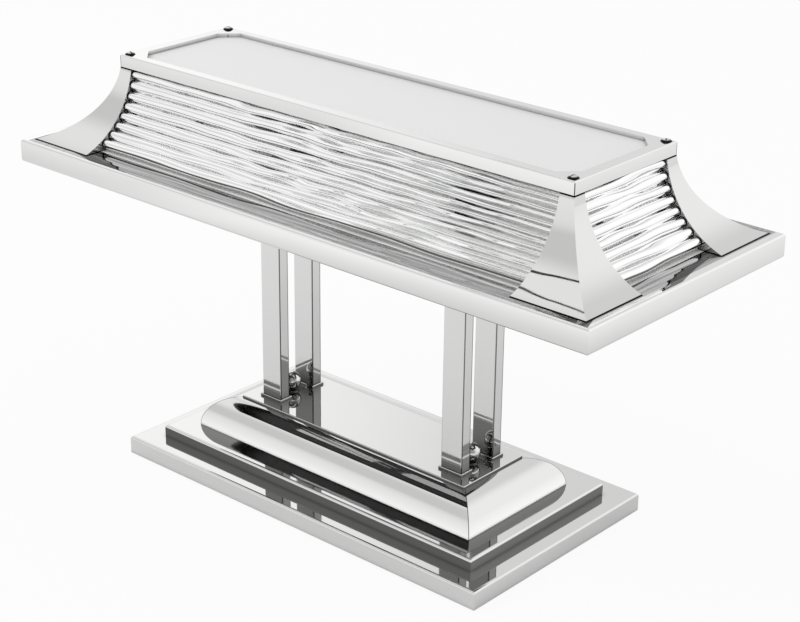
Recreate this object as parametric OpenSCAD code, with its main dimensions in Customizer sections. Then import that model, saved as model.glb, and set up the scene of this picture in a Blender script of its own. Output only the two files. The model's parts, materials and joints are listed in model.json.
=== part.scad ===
// Desk lamp: a long polished tray on two pairs of flat posts carries a shade of clear glass rods.
// X runs along the shade, Y from the front to the back, Z up; z = 0 is the desk top under the pad.

/* [Base] */
// length of the plinth
plinth_l = 338; // [332:1:346]
// depth of the plinth
plinth_w = 186.5; // [183:0.5:192]
// height of the plinth sides
plinth_h = 13.6; // [13.2:0.2:16]
// length of the step on the plinth
step_l = 300.6; // [294:0.2:308]
// depth of the step on the plinth
step_w = 149; // [145:0.5:154]
// height of the step
step_h = 8.9; // [8.4:0.1:11]
// length of the moulding at its foot
ovolo_l = 264; // [260:0.5:270]
// depth of the moulding at its foot
ovolo_w = 109.4; // [108.4:0.2:114]
// radius of the quarter-round moulding
ovolo_r = 22; // [21.5:0.1:23]
// length of the cap plate
cap_l = 217.4; // [212:0.2:219]
// depth of the cap plate
cap_w = 64.8; // [61:0.2:66]
// thickness of the cap plate
cap_t = 1.8; // [1.5:0.1:2.5]
// wall of the pressed base shells
shell_t = 3; // [2.6:0.1:3.2]
// how far the felt pad holds the plinth off the desk
pad_lift = 1; // [0.6:0.1:1.4]
// thickness of the felt pad
pad_t = 2; // [1.8:0.1:2.2]
// thickness of the bottom cover
cover_t = 1.5; // [1.2:0.1:1.8]
// diameter of the cord's way through the rear bush
cord_d = 5.2; // [4.6:0.1:5.4]

/* [Posts] */
// width of a post, seen from the front
post_w = 18.6; // [17.8:0.2:19.6]
// depth of a post
post_d = 9.3; // [9:0.1:9.8]
// length of a post between its foot flange and the crossbar
post_len = 178.2; // [170:0.2:200]
// distance of the posts from the middle along X
post_x = 88; // [85:0.5:90]
// distance of the posts from the middle along Y
post_y = 17.2; // [17:0.1:18.5]
// how far a foot flange reaches past its post
flange_over = 1.25; // [0.8:0.05:1.6]
// thickness of a foot flange
flange_t = 2; // [1.6:0.1:2.6]
// diameter of the tie rod inside a post
tie_d = 5; // [4.5:0.1:5.2]
// diameter of the wire way beside the tie rod
wire_way = 3; // [2.8:0.1:3.2]

/* [Knobs] */
// diameter of a ball knob
knob_d = 13.8; // [13:0.2:14.4]
// height of a ball's centre over the cap plate
knob_lift = 8.1; // [8:0.1:9]
// diameter of the switch spindle
spindle_d = 4; // [3.6:0.1:4.4]
// diameter of the switch body
switch_d = 22; // [20:0.5:22.5]
// height of the switch body
switch_h = 15; // [13:0.5:16]

/* [Tray] */
// length of the tray
tray_l = 520; // [512:1:530]
// depth of the tray
tray_w = 216.4; // [213:0.2:222]
// height of the tray's band
tray_h = 17.2; // [16:0.2:19]
// thickness of the tray's sheet
tray_t = 1.5; // [1.2:0.1:1.8]
// how deep the crossbars lie under the tray's top
well_drop = 6.5; // [6.3:0.1:7.5]
// width of the ledge that carries crossbars and panes
ledge_w = 8; // [7.8:0.1:9]
// width of a crossbar
bar_w = 30; // [28:0.5:32]
// thickness of a crossbar
bar_t = 4; // [3.6:0.1:4.2]
// thickness of the three lower panes
pane_t = 3; // [2.5:0.1:3.5]

/* [Shade] */
// length of the top frame
frame_l = 412.2; // [409:0.2:415]
// depth of the top frame
frame_w = 109; // [108:0.2:111]
// height of the top frame
frame_h = 9; // [8.6:0.1:11]
// height of the shade between tray and top frame
shade_h = 55; // [54:0.2:58]
// how far the shade spreads from top to foot
cove_run = 47; // [46:0.2:48]
// radius of the shade's hollow curve
cove_r = 68; // [66:0.5:72]
// sheet of the corner brackets
sheet_t = 1; // [0.8:0.05:1.1]
// length of a bracket's face at the top, along X
return_x = 11.1; // [10.8:0.1:11.6]
// length of a bracket's face at the top, along Y
return_y = 10.5; // [10.2:0.1:10.8]
// diameter of the glass rods
rod_d = 7.5; // [7:0.1:7.6]
// number of rods on a side
rod_count = 8; // [6:1:8]
// how far a rod passes through the face of its bracket
rod_past = 1.6; // [1.4:0.05:1.8]
// width of the top frame's rim at its ends
rim_x = 8.6; // [8.2:0.1:10]
// width of the top frame's rim along its sides
rim_y = 7.5; // [7.2:0.1:9]
// distance of the outer pane clips from the middle
clip_x = 110; // [90:1:130]
// width of a pane clip
clip_w = 12; // [10:0.5:14]
// cut of the opening's corners
light_cut = 12.2; // [11:0.1:13]
// thickness of the top pane
glass_t = 3; // [2.6:0.1:3.2]
// diameter of the corner pillars
pillar_d = 6.4; // [6:0.1:6.6]
// distance of a pillar from both outer faces of the top frame
pillar_in = 5.1; // [5:0.05:5.3]
// diameter of the slotted screw heads
head_d = 7.8; // [7:0.1:8.4]
// height of the slotted screw heads
head_h = 2; // [1.6:0.1:2.4]

/* [Lamps] */
// diameter of a tubular lamp
lamp_d = 25; // [22:0.5:28]
// length of a lamp's glass
lamp_len = 71; // [66:1:76]
// height of the lamps' axis over the tray
lamp_lift = 28; // [26:0.5:30]
// diameter of a lampholder
holder_d = 26; // [24:0.5:28]
// length of a lampholder's body
holder_len = 35.5; // [32:0.5:36]

/* [Hidden] */
$fn = 48;
eps = 0.01;
slip = 0.1;
loose = 0.25;
running = 0.06;
glass_slip = 1.5;
felt_in = 6.75;
screw_in = 9;
screw_d = 6;
screw_h = 1.5;
pin_d = 5.2;
pin_h = 1.6;
grip = 7;
bolt_af = 7;
bolt_head = 2.8;
boss_d = 10;
bolt_grip = 9;
stand_l = 24;
stand_w = 20;
stand_t = 1.5;
stand_rise = 9;
stand_pitch = 6;
clip_reach = 6;
clip_t = 0.8;
clip_h = 2.2;
thread_l = 10;
nipple_d = 10;
nipple_l = 10;
socket_l = 24;
cap_screw_d = 13.8;
tip_d = 6;
block_l = 36;
block_w = 16;
block_y = 4;
gate_x = 75;
gate_y = 40;
gate_step_y = 33;
plinth_soft = 2.2;
step_soft = 2;
tray_soft = 2.2;
frame_soft = 1.2;
wire_d = 2.4;
frame_t = 3;
skirt_t = 1.5;
m3 = 3;
m4 = 4;
nut_h = 4;
nut_af = 8;
weight_l = plinth_l - 38;
weight_w = plinth_w - 36.5;

// heights from the desk up
z_plinth = pad_lift + plinth_h;
z_step = z_plinth + step_h;
z_ovolo = z_step + ovolo_r;
z_cap = z_ovolo + cap_t;
z_post = z_cap + flange_t;
z_bar = z_post + post_len;
z_tray = z_bar + well_drop;
z_band = z_tray - tray_h;
z_frame = z_tray + shade_h;
z_top = z_frame + frame_h;
z_cover = pad_t + cover_t;
z_roof = z_plinth - shell_t;
z_nest = z_ovolo - shell_t;
z_glass = z_top - frame_t;
z_lamp = z_tray + lamp_lift;
z_cord = (z_cover + z_roof) / 2;

// the hollow curve: one arc through the frame's lower edge and the tray
chord = sqrt(cove_run * cove_run + shade_h * shade_h);
arc_h = sqrt(cove_r * cove_r - chord * chord / 4);
arc_out = cove_run / 2 + arc_h * shade_h / chord;
arc_z = z_tray + shade_h / 2 + arc_h * cove_run / chord;

// the rods lie on a second arc just behind the first
bore_r = rod_d / 2 + slip;
seat_r = cove_r + sheet_t + bore_r + 0.05;
rod_z1 = z_frame - bore_r - 0.65;
rod_z2 = z_tray + bore_r + 0.65;
rod_a1 = asin((arc_z - rod_z1) / seat_r);
rod_a2 = asin((arc_z - rod_z2) / seat_r);
flange_r = seat_r + bore_r + 1.2;

half_x = frame_l / 2;
half_y = frame_w / 2;
land_x = half_x - return_x;
land_y = half_y - return_y;
pillar_x = half_x - pillar_in;
pillar_y = half_y - pillar_in;
well_x = half_x - 6.1;
well_y = half_y - 9.5;
wire_x = tie_d / 2 + wire_way / 2 + 1.9;
bolt_x = cap_l / 2 - 3.7;
bolt_y = 38;

nickel = [0.83, 0.82, 0.80];
olive = [0.38, 0.38, 0.33];
clear = [0.90, 0.95, 0.93, 0.45];
frosted = [0.95, 0.96, 0.95, 0.85];
steel = [0.55, 0.56, 0.58];
iron = [0.25, 0.25, 0.26];
felt = [0.16, 0.22, 0.17];
brass = [0.80, 0.65, 0.35];
black = [0.08, 0.08, 0.09];
white = [0.93, 0.92, 0.89];

// outlines and small helpers

// a bar centred on X whose end outline is the child, its width along Y and its height along Z
module along_x(l) {
  translate([-l / 2, 0, 0])
    rotate([90, 0, 90])
      linear_extrude(l)
        children();
}

// a bar centred on Y whose end outline is the child, its width along X and its height along Z
module along_y(l) {
  translate([0, l / 2, 0])
    rotate([90, 0, 0])
      linear_extrude(l)
        children();
}

// outline of a band w wide and h high with softened edges, at the top only or at both
module band_face(w, h, r, both = false) {
  low = both ? r : 0;
  translate([-w / 2, low])
    square([w, h - r - low]);
  translate([-w / 2 + r, 0])
    square([w - 2 * r, h]);
  for (s = [-1, 1]) {
    translate([s * (w / 2 - r), h - r])
      circle(r, $fn = 24);
    if (both)
      translate([s * (w / 2 - r), r])
        circle(r, $fn = 24);
  }
}

// a slab with mitred corners and softened edges, standing on z = 0
module slab(l, w, h, r, both = false) {
  intersection() {
    along_x(l + 4)
      band_face(w, h, r, both);
    along_y(w + 4)
      band_face(l, h, r, both);
  }
}

// a plain box centred on x and y
module block(l, w, z0, z1) {
  translate([-l / 2, -w / 2, z0])
    cube([l, w, z1 - z0]);
}

module rod_z(d, z0, z1) {
  translate([0, 0, z0])
    cylinder(d = d, h = z1 - z0);
}

module at(x, y) {
  translate([x, y, 0])
    children();
}

module four(x, y) {
  for (sx = [-1, 1])
    for (sy = [-1, 1])
      at(sx * x, sy * y)
        children();
}

module hexagon(af, z0, z1) {
  translate([0, 0, z0])
    rotate([0, 0, 30])
      cylinder(r = af / sqrt(3), h = z1 - z0, $fn = 6);
}

// a domed head on z = 0 with a slot turned by a, and its shank going down
module slotted_screw(d, h, shank, l, a) {
  ball = (d * d / 4 + h * h) / (2 * h);
  difference() {
    union() {
      intersection() {
        translate([0, 0, h - ball])
          sphere(ball);
        cylinder(d = d, h = h + 1);
      }
      translate([0, 0, -l])
        cylinder(d = shank, h = l + eps);
    }
    rotate([0, 0, a])
      translate([-d, -d / 16, h / 2])
        cube([2 * d, d / 8, h]);
  }
}

// a wire through the given points
module wire(points) {
  for (i = [0 : len(points) - 2]) {
    v = points[i + 1] - points[i];
    l = norm(v);
    translate(points[i])
      rotate([0, acos(v[2] / l), atan2(v[1], v[0])])
        cylinder(d = wire_d, h = l, $fn = 16);
    if (i > 0)
      translate(points[i])
        sphere(d = wire_d + 0.2, $fn = 16);
  }
}

// base

module cover_holes(d, z0, z1) {
  four(plinth_l / 2 - screw_in, plinth_w / 2 - screw_in)
    rod_z(d, z0, z1);
  four(plinth_l / 5, plinth_w / 2 - screw_in)
    rod_z(d, z0, z1);
}

module base_plinth() {
  color(nickel)
    difference() {
      union() {
        difference() {
          translate([0, 0, pad_lift])
            slab(plinth_l, plinth_w, plinth_h, plinth_soft);
          block(plinth_l - 2 * shell_t, plinth_w - 2 * shell_t, 0, z_roof);
        }
        cover_holes(screw_in, z_cover, z_roof + eps);
      }
      cover_holes(m3, z_cover - 1, z_roof - 1);
      block(2 * gate_x, 2 * gate_y, z_roof - 1, z_plinth + 1);
      four(bolt_x, bolt_y)
        rod_z(m4 + 2 * slip, z_roof - 1, z_plinth + 1);
      translate([0, plinth_w / 2 + 1, z_cord])
        rotate([90, 0, 0])
          cylinder(d = cord_d + 1.8 + 2 * slip, h = shell_t + 2);
    }
}

module base_step() {
  color(olive)
    difference() {
      union() {
        difference() {
          translate([0, 0, z_plinth])
            slab(step_l, step_w, step_h, step_soft);
          block(step_l - 2 * shell_t, step_w - 2 * shell_t, z_plinth - 1, z_step - shell_t);
        }
        four(bolt_x, bolt_y)
          rod_z(boss_d, z_plinth, z_step - 1);
      }
      block(2 * gate_x, 2 * gate_step_y, z_step - shell_t - 1, z_step + 1);
      four(bolt_x, bolt_y)
        rod_z(m4 + 2 * slip, z_plinth - 1, z_step + 1);
    }
}

// outline of the quarter-round moulding, w wide at its foot
module ovolo_face(w, r) {
  translate([-w / 2 + r, 0])
    square([w - 2 * r, r]);
  intersection() {
    for (s = [-1, 1])
      translate([s * (w / 2 - r), 0])
        circle(r, $fn = 96);
    translate([-w / 2, 0])
      square([w, r]);
  }
}

module ovolo(l, w, r) {
  translate([0, 0, z_step])
    intersection() {
      along_x(l + 4)
        ovolo_face(w, r);
      along_y(w + 4)
        ovolo_face(l, r);
    }
}

module base_moulding() {
  color(nickel)
    difference() {
      union() {
        difference() {
          ovolo(ovolo_l, ovolo_w, ovolo_r);
          ovolo(ovolo_l - 2 * shell_t, ovolo_w - 2 * shell_t, ovolo_r - shell_t);
        }
        intersection() {
          ovolo(ovolo_l, ovolo_w, ovolo_r);
          four(bolt_x, bolt_y)
            rod_z(boss_d, z_step, z_nest);
        }
      }
      cap_holes();
      four(bolt_x, bolt_y)
        rod_z(m4, z_step - 1, z_step + bolt_grip + 2);
    }
}

// the ways that pass through the moulding's roof and the cap plate
module cap_holes() {
  four(post_x, post_y)
    rod_z(tie_d + 2 * slip, z_nest - 1, z_cap + 1);
  for (s = [-1, 1]) {
    at(s * (post_x - wire_x), post_y)
      rod_z(wire_way, z_nest - 1, z_cap + 1);
    at(s * post_x, 0)
      rod_z(8 + 2 * slip, z_nest - 1, z_cap + 1);
  }
}

module base_cap() {
  color(nickel)
    difference() {
      translate([0, 0, z_ovolo])
        slab(cap_l, cap_w, cap_t, 0.5);
      cap_holes();
    }
}

module base_weight() {
  color(iron)
    difference() {
      block(weight_l, weight_w, z_cover, z_roof);
      four(bolt_x, bolt_y)
        rod_z(boss_d + 2, z_cover - 1, z_roof + 1);
      translate([-cord_d - 3.8, weight_w / 4, z_cover - 1])
        cube([2 * cord_d + 7.6, weight_w, plinth_h + 2]);
    }
}

module base_cover() {
  color(steel)
    difference() {
      block(plinth_l - 2 * shell_t - 2 * loose, plinth_w - 2 * shell_t - 2 * loose, pad_t, z_cover);
      cover_holes(m3 + 2 * slip, pad_t - 1, z_cover + 1);
    }
}

module base_felt() {
  color(felt)
    difference() {
      block(plinth_l - 2 * felt_in, plinth_w - 2 * felt_in, 0, pad_t);
      cover_holes(screw_d + 2, -1, pad_t + 1);
    }
}

module cover_screws() {
  color(steel)
    for (sx = [-1, 1])
      for (sy = [-1, 1])
        for (x = [plinth_l / 2 - screw_in, plinth_l / 5])
          translate([sx * x, sy * (plinth_w / 2 - screw_in), pad_t])
            rotate([180, 0, 0])
              slotted_screw(screw_d, screw_h, m3 - 2 * slip, z_roof - pad_t - 2, 30 * sx + x);
}

module stack_bolts() {
  color(steel)
    four(bolt_x, bolt_y) {
      hexagon(bolt_af, z_roof - bolt_head, z_roof);
      rod_z(m4 - 2 * slip, z_roof - eps, z_step + bolt_grip);
    }
}

// rubber bush in the rear wall that the cord would enter by
module cord_inlet() {
  wall = plinth_w / 2;
  color(black)
    translate([0, wall + 1.8, z_cord])
      rotate([90, 0, 0])
        difference() {
          union() {
            cylinder(d = cord_d + 5, h = 1.8);
            cylinder(d = cord_d + 1.8, h = shell_t + 3.2);
            translate([0, 0, shell_t + 1.8])
              cylinder(d = cord_d + 2.6, h = 1.4);
          }
          translate([0, 0, -1])
            cylinder(d = cord_d, h = shell_t + 6);
        }
}

module terminal_block() {
  color(white)
    difference() {
      translate([0, block_y, 0])
        block(block_l, block_w, z_roof, z_roof + 9);
      for (i = [-1 : 1])
        at(i * block_l / 3.6, block_y)
          rod_z(4, z_roof + 4, z_roof + 10);
    }
}

// switches and knobs

module switch_body() {
  color(black)
    difference() {
      union() {
        rod_z(switch_d, z_nest - switch_h, z_nest);
        rod_z(8, z_nest - eps, z_cap + 0.8);
        for (s = [-1, 1])
          at(s * 6, 0)
            block(0.8, 6, z_nest - switch_h - 3, z_nest - switch_h + eps);
      }
      rod_z(spindle_d + 2 * running, z_nest - switch_h + 3.5, z_cap + 2);
    }
}

module switch_nut() {
  color(nickel)
    difference() {
      rod_z(10, z_cap, z_cap + 0.9);
      rod_z(8 + 2 * slip, z_cap - 1, z_cap + 2);
    }
}

// ball with its short neck and the spindle it is pressed on
module knob() {
  color(nickel) {
    rod_z(spindle_d, z_nest - switch_h + 3.8, z_cap + knob_lift);
    translate([0, 0, z_cap + knob_lift])
      sphere(d = knob_d, $fn = 64);
  }
}

// posts

module foot_flange() {
  color(nickel)
    difference() {
      translate([0, 0, z_cap])
        slab(post_w + 2 * flange_over, post_d + 2 * flange_over, flange_t, 0.5);
      post_ways(z_cap - 1, z_post + 1);
    }
}

module post_ways(z0, z1) {
  rod_z(tie_d + 2 * slip, z0, z1);
  for (s = [-1, 1])
    at(s * wire_x, 0)
      rod_z(wire_way, z0, z1);
}

// flat bar with eased edges, bored for the tie rod and the wires
module post() {
  ease = 0.6;
  color(nickel)
    difference() {
      union() {
        block(post_w - 2 * ease, post_d, z_post, z_bar);
        block(post_w, post_d - 2 * ease, z_post, z_bar);
        four(post_w / 2 - ease, post_d / 2 - ease)
          translate([0, 0, z_post])
            cylinder(r = ease, h = post_len, $fn = 24);
      }
      post_ways(z_post - 1, z_bar + 1);
    }
}

module tie_rod() {
  color(steel)
    rod_z(tie_d, z_nest - nut_h - 2, z_bar + bar_t + nut_h + 1.5);
}

module tie_nuts() {
  color(steel)
    four(post_x, post_y)
      for (z = [z_nest - nut_h, z_bar + bar_t])
        difference() {
          hexagon(nut_af, z, z + nut_h);
          rod_z(tie_d + 2 * slip, z - 1, z + nut_h + 1);
        }
}

// tray

module tray() {
  color(nickel)
    difference() {
      union() {
        difference() {
          translate([0, 0, z_band])
            slab(tray_l, tray_w, tray_h, tray_soft, true);
          block(tray_l - 2 * tray_t, tray_w - 2 * tray_t, z_band + tray_t, z_tray - tray_t);
          block(tray_l - 12, tray_w - 12, z_band - 1, z_band + tray_t + 1);
        }
        block(2 * (well_x + tray_t), 2 * (well_y + tray_t), z_bar - tray_t, z_tray - eps);
      }
      block(2 * well_x, 2 * well_y, z_bar, z_tray + 1);
      block(2 * (well_x - ledge_w), 2 * (well_y - ledge_w), z_bar - tray_t - 1, z_bar + 1);
      bar_screw_places()
        rod_z(m3 - slip, z_bar - tray_t - 1, z_bar + 1);
      four(pillar_x, pillar_y)
        rod_z(m4 + 2 * slip, z_tray - tray_t - 1, z_tray + 1);
      foot_screw_places()
        rod_z(m3 + 2 * slip, z_tray - tray_t - 1, z_tray + 1);
    }
}

module bar_screw_places() {
  for (s = [-1, 1])
    at(s * post_x, 0)
      four(10, well_y - ledge_w / 2)
        children();
}

module foot_screw_places() {
  for (d = [22, 34])
    four(half_x + d, half_y + d)
      children();
}

module crossbar() {
  color(steel)
    difference() {
      block(bar_w, 2 * (well_y - loose), z_bar, z_bar + bar_t);
      for (s = [-1, 1])
        at(0, s * post_y)
          post_ways(z_bar - 1, z_bar + bar_t + 1);
      four(10, well_y - ledge_w / 2)
        rod_z(m3 + 2 * slip, z_bar - 1, z_bar + bar_t + 1);
      for (s = [-1, 1])
        at(0, s * stand_pitch)
          rod_z(m3 - slip, z_bar - 1, z_bar + bar_t + 1);
    }
}

module crossbar_screws() {
  top = z_bar + bar_t;
  color(steel) {
    bar_screw_places()
      translate([0, 0, top])
        slotted_screw(pin_d, pin_h, m3 - 2 * slip, bar_t + tray_t + 1, 40);
    for (sx = [-1, 1])
      for (sy = [-1, 1])
        translate([sx * post_x, sy * stand_pitch, top + stand_t])
          slotted_screw(pin_d, pin_h, m3 - 2 * slip, bar_t + 1, 70 * sy);
  }
}

module pane(x0, x1) {
  color(frosted)
    translate([x0, -well_y + 1, z_bar])
      cube([x1 - x0, 2 * well_y - 2, pane_t]);
}

// shade

// upright outline inside the hollow curve, for a side whose top edge is half away from the middle
module cove_face(half, t) {
  difference() {
    translate([0, z_tray - (t > 0 ? 1 : 0)])
      square([half + cove_run - 0.4 + (t > 0 ? 2 : 0), shade_h - 0.2 + (t > 0 ? 2 : 0)]);
    translate([half + arc_out, arc_z])
      circle(cove_r + t, $fn = 160);
  }
}

// the space inside both hollow curves, mitred at the corner
module cove(t) {
  intersection() {
    rotate([90, 0, 90])
      linear_extrude(half_x + cove_run + 9)
        cove_face(half_y, t);
    translate([0, half_y + cove_run + 9, 0])
      rotate([90, 0, 0])
        linear_extrude(half_y + cove_run + 9)
          cove_face(half_x, t);
  }
}

// upright strip just inside the hollow curve, drilled for the rods
module flange_face(half) {
  difference() {
    intersection() {
      translate([half + arc_out, arc_z])
        circle(flange_r, $fn = 160);
      translate([0, z_tray])
        square([half + cove_run - 0.4, shade_h - 0.2]);
    }
    translate([half + arc_out, arc_z])
      circle(cove_r, $fn = 160);
    rod_places(half)
      circle(bore_r, $fn = 32);
  }
}

// the rods' centres on their arc, for a side whose top edge is half away from the middle
module rod_places(half) {
  for (i = [0 : rod_count - 1]) {
    a = rod_a1 + (rod_a2 - rod_a1) * i / (rod_count - 1);
    translate([half + arc_out - seat_r * cos(a), arc_z - seat_r * sin(a)])
      children();
  }
}

// mitred corner piece with two hollow faces, two drilled flanges and a foot
module bracket() {
  color(nickel) {
    intersection() {
      difference() {
        cove(0);
        cove(sheet_t);
      }
      translate([land_x, land_y, z_tray - 1])
        cube([cove_run + 2 * return_x, cove_run + 2 * return_y, shade_h + 2]);
    }
    translate([land_x, 0, 0])
      rotate([90, 0, 90])
        linear_extrude(sheet_t)
          flange_face(half_y);
    translate([0, land_y + sheet_t, 0])
      rotate([90, 0, 0])
        linear_extrude(sheet_t)
          flange_face(half_x);
    intersection() {
      cove(0);
      difference() {
        translate([half_x + 10, half_y + 10, z_tray])
          cube([cove_run, cove_run, tray_t]);
        for (d = [22, 34])
          at(half_x + d, half_y + d)
            rod_z(m3 - slip, z_tray - 1, z_tray + 3);
      }
    }
  }
}

// heads under the tray's sheet, shanks up into the brackets' feet
module bracket_screws() {
  color(steel)
    foot_screw_places()
      translate([0, 0, z_tray - tray_t])
        rotate([180, 0, 0])
          slotted_screw(pin_d, pin_h, m3 - 2 * slip, 2 * tray_t, 15);
}

module rods_along_x() {
  color(clear)
    along_x(2 * (land_x + rod_past))
      rod_places(half_y)
        circle(d = rod_d, $fn = 32);
}

module rods_along_y() {
  color(clear)
    along_y(2 * (land_y + rod_past))
      rod_places(half_x)
        circle(d = rod_d, $fn = 32);
}

// posts of the shade, riveted to the tray and tapped for the frame's screws
module corner_pillars() {
  color(steel)
    four(pillar_x, pillar_y)
      difference() {
        union() {
          rod_z(pillar_d, z_tray, z_glass);
          rod_z(m4, z_tray - tray_t - 0.5, z_tray + eps);
          rod_z(5.2, z_tray - tray_t - 1, z_tray - tray_t);
        }
        rod_z(m3 + 0.4, z_glass - thread_l, z_glass + 1);
      }
}

module light_outline(grow, cut) {
  x = half_x - rim_x + grow;
  y = half_y - rim_y + grow;
  polygon([
    [x - cut, -y], [x, -y + cut], [x, y - cut], [x - cut, y],
    [-x + cut, y], [-x, y - cut], [-x, -y + cut], [-x + cut, -y]
  ]);
}

module top_frame() {
  color(nickel)
    difference() {
      translate([0, 0, z_frame])
        slab(frame_l, frame_w, frame_h, frame_soft);
      block(frame_l - 2 * skirt_t, frame_w - 2 * skirt_t, z_frame - 1, z_glass);
      translate([0, 0, z_glass - 1])
        linear_extrude(frame_t + 2)
          light_outline(0, light_cut);
      four(pillar_x, pillar_y)
        rod_z(m3 + 0.6, z_glass - 1, z_top + 1);
    }
}

module top_glass() {
  color(frosted)
    translate([0, 0, z_glass - glass_t])
      linear_extrude(glass_t)
        light_outline(rim_y - skirt_t - glass_slip, light_cut + 1);
}

// small angles inside the frame's skirt that hold the pane up
module glass_clips() {
  color(steel) {
    for (sx = [-1, 0, 1])
      for (sy = [-1, 1])
        at(sx * clip_x, sy * (half_y - skirt_t))
          rotate([0, 0, sy > 0 ? 0 : 180])
            clip();
    for (sx = [-1, 1])
      at(sx * (half_x - skirt_t), 0)
        rotate([0, 0, -90 * sx])
          clip();
  }
}

// one angle, its back against the skirt at y = 0 and its shelf reaching to -y under the pane
module clip() {
  z = z_glass - glass_t;
  translate([-clip_w / 2, -clip_reach, z - clip_t])
    cube([clip_w, clip_reach, clip_t]);
  translate([-clip_w / 2, -clip_t, z - clip_h])
    cube([clip_w, clip_t, clip_h - clip_t + eps]);
}

module frame_screws() {
  color(nickel)
    for (sx = [-1, 1])
      for (sy = [-1, 1])
        translate([sx * pillar_x, sy * pillar_y, z_top])
          slotted_screw(head_d, head_h, m3 + 0.2, frame_t + grip, 55 + 40 * sx + 25 * sy);
}

// lamps, for the right side; the left is the mirror image

module stand() {
  rise = z_lamp - z_bar - bar_t;
  color(steel)
    translate([post_x - stand_l / 2, -stand_w / 2, z_bar + bar_t]) {
      difference() {
        cube([stand_l, stand_w, stand_t]);
        for (s = [-1, 1])
          translate([stand_l / 2, stand_w / 2 + s * stand_pitch, -1])
            cylinder(d = m3 + 2 * slip, h = stand_t + 2);
      }
      difference() {
        translate([0, 0, stand_t - 0.5])
          cube([stand_t, stand_w, rise + stand_rise - stand_t]);
        translate([-1, stand_w / 2, rise])
          rotate([0, 90, 0])
            cylinder(d = nipple_d + 2 * slip, h = stand_t + 2);
      }
    }
}

module lampholder() {
  back = post_x - stand_l / 2 + stand_t;
  color(black)
    translate([back, 0, z_lamp])
      rotate([0, 90, 0])
        difference() {
          union() {
            cylinder(d = holder_d - 4, h = 6);
            translate([0, 0, 5])
              cylinder(d = holder_d, h = holder_len - 5);
            translate([0, 0, -nipple_l])
              cylinder(d = nipple_d, h = nipple_l + 1);
            translate([0, 0, -stand_t - nut_h])
              rotate([0, 0, 30])
                cylinder(d = 1.5 * nipple_d, h = nut_h, $fn = 6);
          }
          translate([0, 0, holder_len - socket_l])
            cylinder(d = cap_screw_d + 1.6, h = socket_l + 1);
          translate([0, 0, -nipple_l - 1])
            cylinder(d = nipple_d - 3, h = nipple_l + 2);
        }
}

module lamp() {
  mouth = post_x - stand_l / 2 + stand_t + holder_len;
  translate([mouth, 0, z_lamp])
    rotate([0, 90, 0]) {
      color(brass) {
        translate([0, 0, -socket_l])
          cylinder(d = tip_d, h = 3);
        translate([0, 0, -socket_l + 2])
          cylinder(d = cap_screw_d, h = socket_l - 1.5);
      }
      color(frosted) {
        translate([0, 0, 0.5])
          cylinder(d = lamp_d, h = lamp_len - lamp_d / 2);
        translate([0, 0, 0.5 + lamp_len - lamp_d / 2])
          sphere(d = lamp_d);
      }
    }
}

// supply from the terminal block to the switch, then up a rear post to the lampholder
module wires() {
  x = post_x - wire_x;
  low = z_nest - switch_h;
  run = z_roof + 6;
  dip = low - 2.2;
  tag = post_x - 8.5;
  turn = z_bar + bar_t + 10;
  back = post_x - stand_l / 2 - nipple_l - 4;
  color(black) {
    wire([
      [block_l / 2, block_y, run], [gate_x - 5, block_y, run], [gate_x - 5, block_y, dip],
      [tag, block_y, dip], [tag, block_y, low]
    ]);
    wire([
      [x, 7, low], [x, 7, dip], [x, post_y, dip], [x, post_y, turn],
      [back, post_y, turn], [back, 0, turn], [back, 0, z_lamp], [back + 9, 0, z_lamp]
    ]);
  }
}

base_plinth();
base_step();
base_moulding();
base_cap();
base_weight();
base_cover();
base_felt();
cover_screws();
stack_bolts();
cord_inlet();
terminal_block();
at(-post_x, 0) switch_body();  // switch_left
at(post_x, 0) switch_body();  // switch_right
at(-post_x, 0) switch_nut();  // switch_nut_left
at(post_x, 0) switch_nut();  // switch_nut_right
at(-post_x, 0) knob();  // knob_left
at(post_x, 0) knob();  // knob_right
at(-post_x, -post_y) foot_flange();  // flange_left_front
at(-post_x, post_y) foot_flange();  // flange_left_rear
at(post_x, -post_y) foot_flange();  // flange_right_front
at(post_x, post_y) foot_flange();  // flange_right_rear
at(-post_x, -post_y) post();  // post_left_front
at(-post_x, post_y) post();  // post_left_rear
at(post_x, -post_y) post();  // post_right_front
at(post_x, post_y) post();  // post_right_rear
at(-post_x, -post_y) tie_rod();  // tie_left_front
at(-post_x, post_y) tie_rod();  // tie_left_rear
at(post_x, -post_y) tie_rod();  // tie_right_front
at(post_x, post_y) tie_rod();  // tie_right_rear
tie_nuts();
tray();
at(-post_x, 0) crossbar();  // crossbar_left
at(post_x, 0) crossbar();  // crossbar_right
crossbar_screws();
pane(-well_x + 1, -post_x - bar_w / 2 - 1);  // pane_left
pane(-post_x + bar_w / 2 + 1, post_x - bar_w / 2 - 1);  // pane_centre
pane(post_x + bar_w / 2 + 1, well_x - 1);  // pane_right
mirror([1, 0, 0]) mirror([0, 1, 0]) bracket();  // bracket_left_front
mirror([1, 0, 0]) bracket();  // bracket_left_rear
mirror([0, 1, 0]) bracket();  // bracket_right_front
bracket();  // bracket_right_rear
bracket_screws();
mirror([0, 1, 0]) rods_along_x();  // rods_front
rods_along_x();  // rods_rear
mirror([1, 0, 0]) rods_along_y();  // rods_left
rods_along_y();  // rods_right
corner_pillars();
top_frame();
top_glass();
glass_clips();
frame_screws();
mirror([1, 0, 0]) stand();  // stand_left
stand();  // stand_right
mirror([1, 0, 0]) lampholder();  // lampholder_left
lampholder();  // lampholder_right
mirror([1, 0, 0]) lamp();  // lamp_left
lamp();  // lamp_right
mirror([1, 0, 0]) wires();  // wires_left
wires();  // wires_right
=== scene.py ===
"""Desk lamp in polished nickel and clear glass rod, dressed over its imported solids."""

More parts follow.
